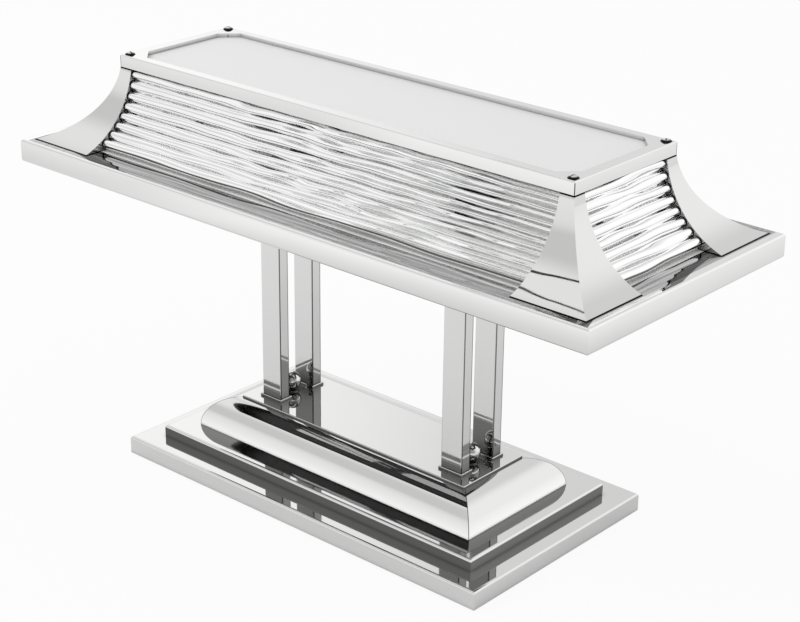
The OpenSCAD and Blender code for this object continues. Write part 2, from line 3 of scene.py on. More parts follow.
import json
import logging
import math
import random
from dataclasses import dataclass, field
from enum import Enum
from typing import Protocol, Union

import bpy
from mathutils import Matrix, Vector


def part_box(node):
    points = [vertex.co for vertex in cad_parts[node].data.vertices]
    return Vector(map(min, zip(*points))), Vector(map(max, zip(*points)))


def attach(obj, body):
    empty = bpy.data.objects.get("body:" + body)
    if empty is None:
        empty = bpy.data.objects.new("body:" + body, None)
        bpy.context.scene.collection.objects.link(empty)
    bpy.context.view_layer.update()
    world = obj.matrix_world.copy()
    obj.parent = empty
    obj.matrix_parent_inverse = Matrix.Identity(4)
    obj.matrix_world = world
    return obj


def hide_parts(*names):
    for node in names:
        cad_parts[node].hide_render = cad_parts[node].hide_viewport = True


logging.basicConfig(level=logging.INFO, format="%(name)s: %(message)s")
log = logging.getLogger("desk_lamp")

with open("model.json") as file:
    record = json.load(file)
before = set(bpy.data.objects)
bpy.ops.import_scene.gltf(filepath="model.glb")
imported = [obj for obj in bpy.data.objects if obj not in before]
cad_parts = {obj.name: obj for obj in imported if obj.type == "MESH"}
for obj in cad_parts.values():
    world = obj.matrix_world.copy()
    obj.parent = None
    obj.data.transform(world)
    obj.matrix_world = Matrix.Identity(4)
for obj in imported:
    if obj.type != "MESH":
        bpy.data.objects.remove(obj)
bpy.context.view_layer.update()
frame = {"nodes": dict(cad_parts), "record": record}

Socket = bpy.types.NodeSocket
Material = bpy.types.Material
Colour = tuple[float, float, float]
Feed = Union[Socket, float, tuple]

MM = 0.001
PHOTO_WIDTH = 800
SENSOR_MM = 36.0

MIX_FACTOR, MIX_FIRST, MIX_SECOND, MIX_RESULT = 0, 6, 7, 2
CLOUD_SCALE, CLOUD_DETAIL = 9.0, 3.0
HAZE_SCALE, HAZE_DETAIL = 60.0, 4.0
WAVE_SCALE, WAVE_MM = 14.0, 0.02
OCCLUDED, OPEN = 0.3, 0.72
NOISE_LOW, NOISE_HIGH = 0.3, 0.7
# Painted shade in corners: how far it reaches, in millimetres, and the share of colour left.
CREVICE_SHADE_MM, CREVICE_SHADE_LEFT = 5.0, 0.12
GLASS_IOR = 1.5
GRAIN_SCALE, GRAIN_MM, GRAIN_STRENGTH = 2500.0, 0.02, 0.3
PAST_ONE, BELOW_ONE = 1.5, 0.5


class Slot(Enum):
    """The record's material slots."""

    NICKEL = "nickel"
    STEP = "step"
    CLEAR_GLASS = "clear_glass"
    FROSTED_GLASS = "frosted_glass"
    LAMP_GLASS = "lamp_glass"
    STEEL = "steel"
    IRON = "iron"
    FELT = "felt"
    RUBBER = "rubber"
    PORCELAIN = "porcelain"
    BAKELITE = "bakelite"


class Side(Enum):
    """Which solids a curtain of rods replaces, the axis that it runs along and its side."""

    FRONT = ("rods_front", 0, -1)
    REAR = ("rods_rear", 0, 1)
    LEFT = ("rods_left", 1, -1)
    RIGHT = ("rods_right", 1, 1)


@dataclass(frozen=True)
class Shader:
    """Small helper that grows the node tree of one material or world."""

    owner: bpy.types.ID

    @classmethod
    def on(cls, owner: bpy.types.ID, kind: str) -> "Shader":
        """Start afresh on a material or a world.

        Args:
            owner: The material or world.
            kind: "Material" or "World", as its output node is called.

        Returns:
            A helper on an emptied tree with its output node.
        """
        owner.use_nodes = True
        owner.node_tree.nodes.clear()
        owner.node_tree.nodes.new("ShaderNodeOutput" + kind)
        return cls(owner)

    @classmethod
    def named(cls, name: str) -> "Shader":
        """Start a new material."""
        return cls.on(bpy.data.materials.new(name), "Material")

    def add(self, kind: str, **values: object) -> bpy.types.Node:
        """Add one node.

        Args:
            kind: Blender's name of the node without its ShaderNode prefix.
            values: Attributes of the node, or inputs where the key matches none.

        Returns:
            The new node.
        """
        node = self.owner.node_tree.nodes.new("ShaderNode" + kind)
        for key, value in values.items():
            if hasattr(node, key):
                setattr(node, key, value)
            else:
                node.inputs[key.replace("_", " ")].default_value = value
        return node

    def join(self, value: Feed, socket: Socket) -> None:
        """Feed an input.

        Args:
            value: A socket to link, or a number or a colour to set.
            socket: The input.
        """
        if isinstance(value, Socket):
            self.owner.node_tree.links.new(value, socket)
        elif isinstance(value, tuple) and socket.type == "RGBA":
            socket.default_value = (*value, 1)
        else:
            socket.default_value = value

    def close(self, surface: Socket) -> bpy.types.ID:
        """Link the surface to the output.

        Args:
            surface: The finished shader's socket.

        Returns:
            The material or world.
        """
        nodes = self.owner.node_tree.nodes
        output = next(node for node in nodes if node.type.startswith("OUTPUT"))
        self.join(surface, output.inputs["Surface"])
        return self.owner

    def calc(self, operation: str, *terms: Feed, **values: object) -> Socket:
        """Add one sum.

        Args:
            operation: Blender's name of the sum.
            terms: Its terms in order.
            values: Attributes of the node.

        Returns:
            The result's socket.
        """
        node = self.add("Math", operation=operation, **values)
        for term, socket in zip(terms, node.inputs):
            self.join(term, socket)
        return node.outputs[0]

    def ranged(
        self,
        source: Socket,
        start: tuple[float, float],
        end: tuple[float, float] = (0.0, 1.0),
        **values: object,
    ) -> Socket:
        """Map one range of values on another.

        Args:
            source: The value.
            start: The range that it has.
            end: The range that it gets.
            values: Attributes of the node.

        Returns:
            The mapped value's socket.
        """
        node = self.add("MapRange", **values)
        node.inputs["From Min"].default_value, node.inputs["From Max"].default_value = start
        node.inputs["To Min"].default_value, node.inputs["To Max"].default_value = end
        self.join(source, node.inputs["Value"])
        return node.outputs["Result"]

    def between(self, factor: Feed, first: Feed, second: Feed) -> Socket:
        """Go from one number to another.

        Args:
            factor: 0 gives the first number and 1 the second.
            first: First number.
            second: Second number.

        Returns:
            The number's socket.
        """
        node = self.add("Mix", data_type="FLOAT")
        for value, name in ((factor, "Factor"), (first, "A"), (second, "B")):
            self.join(value, node.inputs[name])
        return node.outputs["Result"]

    def blend(self, factor: Socket, dark: Feed, light: Feed) -> Socket:
        """Blend two colours.

        Args:
            factor: 0 gives the first colour and 1 the second.
            dark: First colour.
            light: Second colour.

        Returns:
            The colour's socket.
        """
        node = self.add("Mix", data_type="RGBA")
        self.join(factor, node.inputs[MIX_FACTOR])
        self.join(dark, node.inputs[MIX_FIRST])
        self.join(light, node.inputs[MIX_SECOND])
        return node.outputs[MIX_RESULT]

    def scaled(self, colour: Socket, share: Feed) -> Socket:
        """Scale a colour.

        Args:
            colour: The colour's socket.
            share: What it is multiplied by.

        Returns:
            The scaled colour's socket.
        """
        node = self.add("VectorMath", operation="SCALE")
        self.join(colour, node.inputs[0])
        self.join(share, node.inputs["Scale"])
        return node.outputs["Vector"]

    def parted(self, vector: Socket) -> bpy.types.NodeOutputs:
        """Separate a vector.

        Args:
            vector: The vector's socket.

        Returns:
            Its three sockets, called X, Y and Z.
        """
        node = self.add("SeparateXYZ")
        self.join(vector, node.inputs["Vector"])
        return node.outputs

    def place(self) -> bpy.types.NodeOutputs:
        """Separate the object coordinates, which are metres in the solids' frame."""
        return self.parted(self.add("TexCoord").outputs["Object"])

    def facing(self) -> bpy.types.NodeOutputs:
        """Separate the surface's own direction."""
        return self.parted(self.add("NewGeometry").outputs["Normal"])

    def noise(self, scale: float, detail: float, stretch: tuple = (1, 1, 1)) -> Socket:
        """Add noise in object space.

        Args:
            scale: Features for each metre.
            detail: Octaves of finer noise.
            stretch: Scale of the coordinates along each axis.

        Returns:
            The noise's socket, 0 to 1.
        """
        mapping = self.add("Mapping")
        mapping.inputs["Scale"].default_value = stretch
        self.join(self.add("TexCoord").outputs["Object"], mapping.inputs["Vector"])
        texture = self.add("TexNoise", Scale=scale, Detail=detail)
        self.join(mapping.outputs["Vector"], texture.inputs["Vector"])
        return texture.outputs["Fac"]

    def spread(self, source: Socket, low: float, high: float) -> Socket:
        """Map the middle of a noise on a range."""
        return self.ranged(source, (NOISE_LOW, NOISE_HIGH), (low, high))

    def painted_crevice_shade(
        self,
        colour: Socket,
        reach_mm: float = CREVICE_SHADE_MM,
        left: float = CREVICE_SHADE_LEFT,
    ) -> Socket:
        """Darken a colour where two surfaces meet: painted shade in the corners.

        Args:
            colour: The clean colour's socket.
            reach_mm: How far from the corner the painted shade goes, in millimetres.
            left: Share of the colour that is left in the deepest corner.

        Returns:
            The darkened colour's socket.
        """
        # Painted shade: ambient occlusion darkens the colour near other surfaces.
        near = self.add("AmbientOcclusion", samples=3, Distance=reach_mm * MM)
        depth = self.ranged(near.outputs["AO"], (OCCLUDED, OPEN), (left, 1.0))
        return self.scaled(colour, depth)

    def bump(
        self, height: Socket, depth_mm: float, strength: float = 1.0
    ) -> Socket:
        """Turn a height into a surface normal.

        Args:
            height: The height's socket, 0 to 1.
            depth_mm: Height of 1, in millimetres.
            strength: How much of it is used.

        Returns:
            The normal's socket.
        """
        node = self.add("Bump", Strength=strength, Distance=depth_mm * MM)
        self.join(height, node.inputs["Height"])
        return node.outputs["Normal"]

    def painted_height_light(
        self, colour: Socket, node: str, low: float, high: float
    ) -> Socket:
        """Scale a colour up the height of a solid: painted light and shade that change from its
        foot to its top.

        Args:
            colour: The plain colour's socket.
            node: The solid whose height is used.
            low: Scale at its foot.
            high: Scale at its top.

        Returns:
            The scaled colour's socket.
        """
        foot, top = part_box(node)
        rise = self.ranged(self.place()["Z"], (foot.z, top.z), (low, high))
        return self.scaled(colour, rise)

    def mitre(self, corner: Vector, hairline: float) -> Socket:
        """Mark the mitres of a level frame that lies around the middle.

        Args:
            corner: The frame's outer corner, in metres.
            hairline: Half the mark's width along either axis, in metres.

        Returns:
            A socket that is 1 on the mitres and 0 elsewhere.
        """
        parts = self.place()
        spans = [self.calc("ABSOLUTE", parts[axis]) for axis in ("X", "Y")]
        return self.calc("COMPARE", self.calc("SUBTRACT", *spans), corner.x - corner.y, hairline)

    def plate(self, worn: Colour, tint: Colour) -> Socket:
        """Cloud a plated surface between two tints."""
        return self.blend(self.noise(CLOUD_SCALE, CLOUD_DETAIL), worn, tint)

    def haze(self) -> Socket:
        """Fine noise for a gloss that is uneven."""
        return self.noise(HAZE_SCALE, HAZE_DETAIL)

    def waves(self, scale: float = WAVE_SCALE, depth_mm: float = WAVE_MM) -> Socket:
        """The faint waves that hand buffing leaves."""
        return self.bump(self.noise(scale, 1.0), depth_mm)

    def grain(self) -> Socket:
        """The fine grain of etched glass."""
        return self.bump(self.noise(GRAIN_SCALE, 2.0), GRAIN_MM, GRAIN_STRENGTH)

    def metal(
        self,
        colour: Socket,
        normal: Socket,
        rough: tuple[float, float] = (0.02, 0.06),
    ) -> Material:
        """Finish the material as buffed metal, with a fine haze.

        Args:
            colour: The metal's colour.
            normal: Its relief.
            rough: Least and most roughness.

        Returns:
            The finished material.
        """
        body = self.add("BsdfPrincipled", Metallic=1.0)
        self.join(colour, body.inputs["Base Color"])
        self.join(self.spread(self.haze(), *rough), body.inputs["Roughness"])
        self.join(normal, body.inputs["Normal"])
        return self.close(body.outputs["BSDF"])


class Recipe(Protocol):
    """Anything that can make a material."""

    def build(self) -> Material:
        """Make the material."""


@dataclass(frozen=True)
class PolishedNickel:
    """Mirror-polished nickel plate with the faint waves that hand buffing leaves, and painted
    shade in its corners.
    """

    name: str = "polished_nickel"
    tint: Colour = (0.81, 0.81, 0.805)
    worn: Colour = (0.77, 0.77, 0.765)

    def build(self) -> Material:
        """Make the material.

        Returns:
            The finished material.
        """
        s = Shader.named(self.name)
        return s.metal(s.painted_crevice_shade(s.plate(self.worn, self.tint)), s.waves())


@dataclass(frozen=True)
class BracketNickel:
    """Nickel of the corner pieces, with painted shadow in black bands under the frame and at the
    tray, and painted shade in its corners.

    Sizes in metres, where the name doesn't say millimetres.
    """

    name: str = "bracket_nickel"
    tint: Colour = (0.81, 0.81, 0.805)
    worn: Colour = (0.76, 0.76, 0.755)
    # Depths of the painted shadow bands under the frame and at the tray.
    painted_shadow_under_frame: float = 0.0011
    foot: float = 0.0005
    crevice_shade_mm: float = 9.0
    crevice_shade_left: float = 0.04
    wave_scale: float = 26.0
    wave_mm: float = 0.16

    def build(self) -> Material:
        """Make the material.

        Returns:
            The finished material.
        """
        s = Shader.named(self.name)
        colour = s.painted_crevice_shade(s.plate(self.worn, self.tint), self.crevice_shade_mm, self.crevice_shade_left)
        height = s.place()["Z"]
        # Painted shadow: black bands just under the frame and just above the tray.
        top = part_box("top_frame")[0].z - self.painted_shadow_under_frame
        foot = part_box("tray")[1].z + self.foot
        colour = s.scaled(colour, s.calc("LESS_THAN", height, top))
        colour = s.scaled(colour, s.calc("GREATER_THAN", height, foot))
        return s.metal(colour, s.waves(self.wave_scale, self.wave_mm))


@dataclass(frozen=True)
class FrameNickel:
    """Nickel of the top frame, with the dark hairline of its mitres down the four corners, painted
    shade in its corners and painted light that grows up its height.

    Sizes in metres.
    """

    name: str = "frame_nickel"
    tint: Colour = (0.82, 0.82, 0.815)
    worn: Colour = (0.78, 0.78, 0.775)
    seam: Colour = (0.03, 0.03, 0.03)
    hairline: float = 0.00045
    rim: float = 0.0010
    painted_foot_share: float = 0.98
    painted_top_share: float = 1.08

    def build(self) -> Material:
        """Make the material.

        Returns:
            The finished material.
        """
        s = Shader.named(self.name)
        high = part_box("top_frame")[1]
        upright = s.calc("LESS_THAN", s.place()["Z"], high.z - self.rim)
        mark = s.calc("MULTIPLY", s.mitre(high, self.hairline), upright)
        colour = s.painted_crevice_shade(s.plate(self.worn, self.tint))
        # Painted light: lighter towards the top of the frame, darker at its foot.
        colour = s.painted_height_light(colour, "top_frame", self.painted_foot_share, self.painted_top_share)
        return s.metal(s.blend(mark, colour, self.seam), s.waves())


@dataclass(frozen=True)
class PostNickel:
    """Nickel of one post, its narrow sides painted dark along both edges as shade, with painted
    shade in its corners.

    Sizes in metres, where the name doesn't say millimetres.
    """

    node: str
    tint: Colour = (0.81, 0.81, 0.805)
    worn: Colour = (0.77, 0.77, 0.765)
    # Colour of the painted shade along the edges of the narrow sides.
    edge: Colour = (0.16, 0.16, 0.16)
    width: float = 0.0010
    sideways: float = 0.5
    crevice_shade_mm: float = 13.0
    crevice_shade_left: float = 0.05

    def build(self) -> Material:
        """Make the material.

        Returns:
            The finished material.
        """
        s = Shader.named(self.node + "_nickel")
        colour = s.painted_crevice_shade(s.plate(self.worn, self.tint), self.crevice_shade_mm, self.crevice_shade_left)
        # Painted shade: dark bands along both edges of the narrow sides.
        low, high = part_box(self.node)
        off = s.calc("ABSOLUTE", s.calc("SUBTRACT", s.place()["Y"], (low.y + high.y) / 2))
        edge_shade_band = s.calc("GREATER_THAN", off, (high.y - low.y) / 2 - self.width)
        turned = s.calc("ABSOLUTE", s.facing()["X"])
        narrow = s.calc("GREATER_THAN", turned, self.sideways)
        mark = s.calc("MULTIPLY", edge_shade_band, narrow)
        return s.metal(s.blend(mark, colour, self.edge), s.waves())


@dataclass(frozen=True)
class MouldingNickel:
    """Nickel of the base moulding: at its foot the shading normal leans back and the colour is a
    painted highlight; painted shade in its corners.
    """

    name: str = "moulding_nickel"
    tint: Colour = (0.80, 0.80, 0.795)
    # Colour of the painted highlight at the foot.
    foot: Colour = (0.98, 0.98, 0.975)
    seam: Colour = (0.16, 0.16, 0.16)
    leaning: float = 0.5
    lift: float = 0.36
    hairline: float = 0.0004
    crevice_shade_mm: float = 3.0

    def build(self) -> Material:
        """Make the material.

        Returns:
            The finished material.
        """
        s = Shader.named(self.name)
        # Painted highlight: the colour goes lighter where the face turns upright near the foot.
        low = s.ranged(s.facing()["Z"], (0.0, self.leaning), (1.0, 0.0))
        mark = s.mitre(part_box("base_moulding")[1], self.hairline)
        colour = s.blend(mark, s.blend(low, self.tint, self.foot), self.seam)
        rise = s.add("CombineXYZ")
        s.join(s.calc("MULTIPLY", low, self.lift), rise.inputs["Z"])
        total = s.add("VectorMath", operation="ADD")
        s.join(s.waves(), total.inputs[0])
        s.join(rise.outputs["Vector"], total.inputs[1])
        unit = s.add("VectorMath", operation="NORMALIZE")
        s.join(total.outputs["Vector"], unit.inputs[0])
        return s.metal(s.painted_crevice_shade(colour, self.crevice_shade_mm), unit.outputs["Vector"])


@dataclass(frozen=True)
class TonedStep:
    """Nickel whose upright sides are toned dark, as the step under the moulding shows."""

    name: str = "toned_step"
    top: Colour = (0.80, 0.80, 0.795)
    side: Colour = (0.60, 0.60, 0.585)
    lean: tuple[float, float] = (0.02, 0.22)

    def build(self) -> Material:
        """Make the material.

        Returns:
            The finished material.
        """
        s = Shader.named(self.name)
        lean = s.ranged(s.facing()["Z"], self.lean)
        return s.metal(s.blend(lean, self.side, self.top), s.waves(), (0.03, 0.08))


@dataclass(frozen=True)
class TrayNickel:
    """Polished outside, white enamel inside the shade with a painted glow, near-black in the pan
    under the sheet; painted streaked reflections of the rods on its margins, painted light up the
    band and painted shade in its corners.

    Sizes in metres, where the name doesn't say millimetres. Each gloss is a roughness and a
    metallic share.
    """

    name: str = "tray_nickel"
    tint: Colour = (0.81, 0.81, 0.805)
    worn_share: float = 0.95
    enamel: Colour = (0.94, 0.94, 0.93)
    pan: Colour = (0.035, 0.035, 0.035)
    pan_half: tuple[float, float] = (0.2588, 0.1070)
    pan_top: float = 0.2335
    shade_half: tuple[float, float] = (0.2385, 0.0865)
    margin_half: tuple[float, float] = (0.2000, 0.1058)
    # Colours of the painted reflection of the rods on the margins.
    margin: Colour = (0.60, 0.60, 0.60)
    painted_streak_dark: Colour = (0.22, 0.22, 0.22)
    streak_scale: float = 500.0
    streak_stretch: float = 0.02
    past_foot: float = 0.0012
    painted_glow: float = 0.14
    crown_mm: float = 0.15
    wave_share: float = 0.05
    painted_foot_share: float = 0.92
    painted_top_share: float = 1.12
    rough: tuple[float, float] = (0.02, 0.05)
    pan_gloss: tuple[float, float] = (0.4, 0.4)
    enamel_gloss: tuple[float, float] = (0.35, 0.0)

    def within(
        self, s: Shader, half: tuple[float, float], height: float, kind: str = "GREATER_THAN"
    ) -> Socket:
        """Mark a block of the part, level with the axes.

        Args:
            s: The material being made.
            half: Half the block's length and depth.
            height: The level face that the block ends at.
            kind: How the block's heights compare with that face.

        Returns:
            A socket that is 1 inside and 0 outside.
        """
        parts = s.place()
        value = s.calc(kind, parts["Z"], height)
        for axis, limit in zip(("X", "Y"), half):
            side = s.calc("LESS_THAN", s.calc("ABSOLUTE", parts[axis]), limit)
            value = s.calc("MULTIPLY", value, side)
        return value

    def painted_rod_reflection(self, s: Shader, stretch: tuple[float, float, float]) -> Socket:
        """Paint the streaked reflection of the rods on the margin's colour.

        Args:
            s: The material being made.
            stretch: Scale of the streaks' coordinates along each axis.

        Returns:
            The colour's socket.
        """
        streaks = s.noise(self.streak_scale, 2.0, stretch)
        return s.blend(s.spread(streaks, 0.0, 1.0), self.painted_streak_dark, self.margin)

    def crowned(self, s: Shader) -> Socket:
        """Swell the band's middle a little, with buffing waves on it.

        Args:
            s: The material being made.

        Returns:
            The height's socket, 1 at the middle of the band and 0 at its edges.
        """
        low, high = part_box("tray")
        span = s.ranged(s.place()["Z"], ((low.z + high.z) / 2, high.z), clamp=False)
        crown = s.calc("SUBTRACT", 1.0, s.calc("MULTIPLY", span, span))
        return s.calc("MULTIPLY_ADD", s.noise(WAVE_SCALE, 1.0), self.wave_share, crown)

    def build(self) -> Material:
        """Make the material.

        Returns:
            The finished material.
        """
        s = Shader.named(self.name)
        body = s.add("BsdfPrincipled", Emission_Strength=self.painted_glow)
        ends = (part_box("bracket_right_front")[1].x + self.past_foot, self.margin_half[1])
        in_pan = self.within(s, self.pan_half, self.pan_top, "LESS_THAN")
        in_shade = self.within(s, self.shade_half, self.pan_top)
        colour = s.plate(tuple(self.worn_share * c for c in self.tint), self.tint)
        # Painted light: lighter towards the top of the band.
        colour = s.painted_height_light(colour, "tray", self.painted_foot_share, self.painted_top_share)
        # Painted reflection: dark streaks of the rods on the margins at the ends and along the
        # sides.
        painted_end_reflection = self.painted_rod_reflection(s, (1, self.streak_stretch, 1))
        painted_side_reflection = self.painted_rod_reflection(s, (self.streak_stretch, 1, 1))
        layers = (
            (in_pan, self.pan),
            (self.within(s, ends, self.pan_top), painted_end_reflection),
            (self.within(s, self.margin_half, self.pan_top), painted_side_reflection),
            (in_shade, self.enamel),
        )
        for mark, tone in layers:
            colour = s.blend(mark, colour, tone)
        s.join(s.painted_crevice_shade(colour), body.inputs["Base Color"])
        # Painted glow: the enamel inside the shade emits light.
        s.join(s.blend(in_shade, (0.0, 0.0, 0.0), self.enamel), body.inputs["Emission Color"])
        rough: Feed = s.spread(s.haze(), *self.rough)
        metal: Feed = 1.0
        for mark, gloss in ((in_pan, self.pan_gloss), (in_shade, self.enamel_gloss)):
            rough = s.between(mark, rough, gloss[0])
            metal = s.between(mark, metal, gloss[1])
        s.join(rough, body.inputs["Roughness"])
        s.join(metal, body.inputs["Metallic"])
        s.join(s.bump(self.crowned(s), self.crown_mm), body.inputs["Normal"])
        return s.close(body.outputs["BSDF"])


@dataclass(frozen=True)
class ClearGlass:
    """Clear drawn glass with faint drawing lines along the rod."""

    name: str = "clear_glass"
    tint: Colour = (0.985, 0.995, 0.99)
    dark_share: float = 0.985
    cloud_scale: float = 30.0
    stretch: tuple[float, float, float] = (1, 1, 1)
    line_scale: float = 220.0
    line_mm: float = 0.01
    swell_scale: float = 75.0
    swell_stretch: float = 0.2
    swell_mm: float = 2.4

    def build(self) -> Material:
        """Make the material.

        Returns:
            The finished material.
        """
        s = Shader.named(self.name)
        body = s.add("BsdfPrincipled", Roughness=0.0, IOR=GLASS_IOR, Transmission_Weight=1.0)
        dark = tuple(self.dark_share * c for c in self.tint)
        s.join(s.blend(s.noise(self.cloud_scale, 1.0), dark, self.tint), body.inputs["Base Color"])
        lines = s.noise(self.line_scale, 2.0, self.stretch)
        along = tuple(1.0 if c == 1 else self.swell_stretch for c in self.stretch)
        swell = s.noise(self.swell_scale, 0.0, along)
        height = s.calc("MULTIPLY_ADD", swell, self.swell_mm / self.line_mm, lines)
        s.join(s.bump(height, self.line_mm), body.inputs["Normal"])
        return s.close(body.outputs["BSDF"])


@dataclass(frozen=True)
class FrostedGlass:
    """Etched glass: a soft white body with a fine grain."""

    name: str = "frosted_glass"
    tint: Colour = (0.94, 0.945, 0.94)
    dark_share: float = 0.97
    cloud_scale: float = 12.0
    through: float = 0.45
    rough: float = 0.45

    def build(self) -> Material:
        """Make the material.

        Returns:
            The finished material.
        """
        s = Shader.named(self.name)
        body = s.add("BsdfPrincipled", Roughness=self.rough, IOR=GLASS_IOR)
        body.inputs["Transmission Weight"].default_value = self.through
        dark = tuple(self.dark_share * c for c in self.tint)
        s.join(s.blend(s.noise(self.cloud_scale, 2.0), dark, self.tint), body.inputs["Base Color"])
        s.join(s.grain(), body.inputs["Normal"])
        return s.close(body.outputs["BSDF"])


@dataclass(frozen=True)
class TopGlass:
    """The frosted pane of the top: white above, with a painted glow on its underside."""

    name: str = "top_glass"
    above: Colour = (0.94, 0.945, 0.94)
    below: Colour = (0.93, 0.93, 0.93)
    lean: tuple[float, float] = (-0.5, 0.5)
    rough: float = 0.5
    painted_glow: float = 0.14

    def build(self) -> Material:
        """Make the material.

        Returns:
            The finished material.
        """
        s = Shader.named(self.name)
        body = s.add("BsdfPrincipled", Roughness=self.rough, IOR=GLASS_IOR)
        # Painted glow from the pane's underside.
        body.inputs["Emission Strength"].default_value = self.painted_glow
        lean = s.ranged(s.facing()["Z"], self.lean)
        s.join(s.blend(lean, self.below, self.above), body.inputs["Base Color"])
        s.join(s.blend(lean, self.below, (0.0, 0.0, 0.0)), body.inputs["Emission Color"])
        s.join(s.grain(), body.inputs["Normal"])
        return s.close(body.outputs["BSDF"])


@dataclass(frozen=True)
class SlottedNickel:
    """Screw heads: polished domes with painted shade, near-black, in the slots and on the rims."""

    name: str = "screw_nickel"
    bright: Colour = (0.78, 0.78, 0.77)
    # Colour of the painted shade in the slots and on the rims.
    slot: Colour = (0.015, 0.015, 0.015)
    rough: float = 0.12
    reach_mm: float = 1.5
    unshaded_range: tuple[float, float] = (0.75, 0.98)
    lit_dome_range: tuple[float, float] = (0.80, 0.90)
    scratch_scale: float = 800.0
    scratch_mm: float = 0.01
    scratch_strength: float = 0.4

    def build(self) -> Material:
        """Make the material.

        Returns:
            The finished material.
        """
        s = Shader.named(self.name)
        body = s.add("BsdfPrincipled", Metallic=1.0, Roughness=self.rough)
        # Painted shade: near-black in the slots by ambient occlusion, and on the rims where the
        # dome turns away from straight up.
        near = s.add("AmbientOcclusion", samples=6, Distance=self.reach_mm * MM)
        clear = s.ranged(near.outputs["AO"], self.unshaded_range)
        dome = s.ranged(s.facing()["Z"], self.lit_dome_range)
        share = s.calc("MULTIPLY", clear, dome)
        s.join(s.blend(share, self.slot, self.bright), body.inputs["Base Color"])
        scratches = s.noise(self.scratch_scale, 2.0)
        relief = s.bump(scratches, self.scratch_mm, self.scratch_strength)
        s.join(relief, body.inputs["Normal"])
        return s.close(body.outputs["BSDF"])


@dataclass(frozen=True)
class PlainFinish:
    """A finish out of sight or in small trim: colour clouds, uneven gloss and a fine relief."""

    name: str
    dark: Colour
    light: Colour
    metallic: float = 0.0
    rough: tuple[float, float] = (0.4, 0.6)
    grain_scale: float = 900.0
    grain_mm: float = 0.05
    stretch: tuple[float, float, float] = (1, 1, 1)
    grains_per_cloud: float = 20.0
    strength: float = 0.6

    def build(self) -> Material:
        """Make the material.

        Returns:
            The finished material.
        """
        s = Shader.named(self.name)
        body = s.add("BsdfPrincipled", Metallic=self.metallic)
        cloud = s.noise(self.grain_scale / self.grains_per_cloud, 3.0, self.stretch)
        s.join(s.blend(cloud, self.dark, self.light), body.inputs["Base Color"])
        grain = s.noise(self.grain_scale, 3.0, self.stretch)
        s.join(s.spread(grain, *self.rough), body.inputs["Roughness"])
        s.join(s.bump(grain, self.grain_mm, self.strength), body.inputs["Normal"])
        return s.close(body.outputs["BSDF"])


def grey(level: float) -> Colour:
    """Give one grey as a colour."""
    return (level, level, level)


@dataclass
class Finishes:
    """Every finish of the lamp, by the record's slot."""

    made: dict[Slot, Material] = field(default_factory=dict)

    def build(self) -> None:
        """Make all the materials."""
        recipes: dict[Slot, Recipe] = {
            Slot.NICKEL: PolishedNickel(),
            Slot.STEP: TonedStep(),
            Slot.CLEAR_GLASS: ClearGlass(),
            Slot.FROSTED_GLASS: FrostedGlass(through=0.1),
            Slot.LAMP_GLASS: FrostedGlass(
                "lamp_glass", (0.97, 0.965, 0.95), through=0.0, rough=0.35
            ),
            Slot.STEEL: PlainFinish(
                "blued_steel",
                (0.05, 0.05, 0.055),
                (0.09, 0.09, 0.10),
                metallic=0.8,
                rough=(0.3, 0.5),
                grain_scale=700,
                grain_mm=0.02,
                stretch=(1, 1, 6),
            ),
            Slot.IRON: PlainFinish(
                "painted_iron",
                grey(0.02),
                grey(0.05),
                metallic=0.2,
                rough=(0.5, 0.8),
                grain_scale=500,
                grain_mm=0.2,
            ),
            Slot.FELT: PlainFinish(
                "green_felt",
                (0.02, 0.04, 0.025),
                (0.05, 0.08, 0.055),
                rough=(0.9, 1.0),
                grain_scale=1500,
                grain_mm=0.3,
            ),
            Slot.RUBBER: PlainFinish(
                "black_rubber",
                grey(0.01),
                grey(0.03),
                rough=(0.6, 0.8),
                grain_scale=1200,
                grain_mm=0.05,
            ),
            Slot.PORCELAIN: PlainFinish(
                "porcelain",
                (0.78, 0.77, 0.72),
                (0.86, 0.85, 0.81),
                rough=(0.1, 0.2),
                grain_scale=300,
                grain_mm=0.02,
            ),
            Slot.BAKELITE: PlainFinish(
                "bakelite",
                (0.01, 0.008, 0.008),
                (0.03, 0.02, 0.02),
                rough=(0.2, 0.4),
                grain_scale=500,
                grain_mm=0.02,
            ),
        }
        for slot, recipe in recipes.items():
            self.made[slot] = recipe.build()

    def dress_with(self, node: str, recipe: Recipe) -> None:
        """Give one solid a finish of its own.

        Args:
            node: The solid's name.
            recipe: Its finish.
        """
        piece = frame["nodes"][node]
        piece.data.materials.clear()
        piece.data.materials.append(recipe.build())

    def dress(self, piece: bpy.types.Object, slot: Slot) -> None:
        """Give a piece one of the shared finishes."""
        piece.data.materials.clear()
        piece.data.materials.append(self.made[slot])


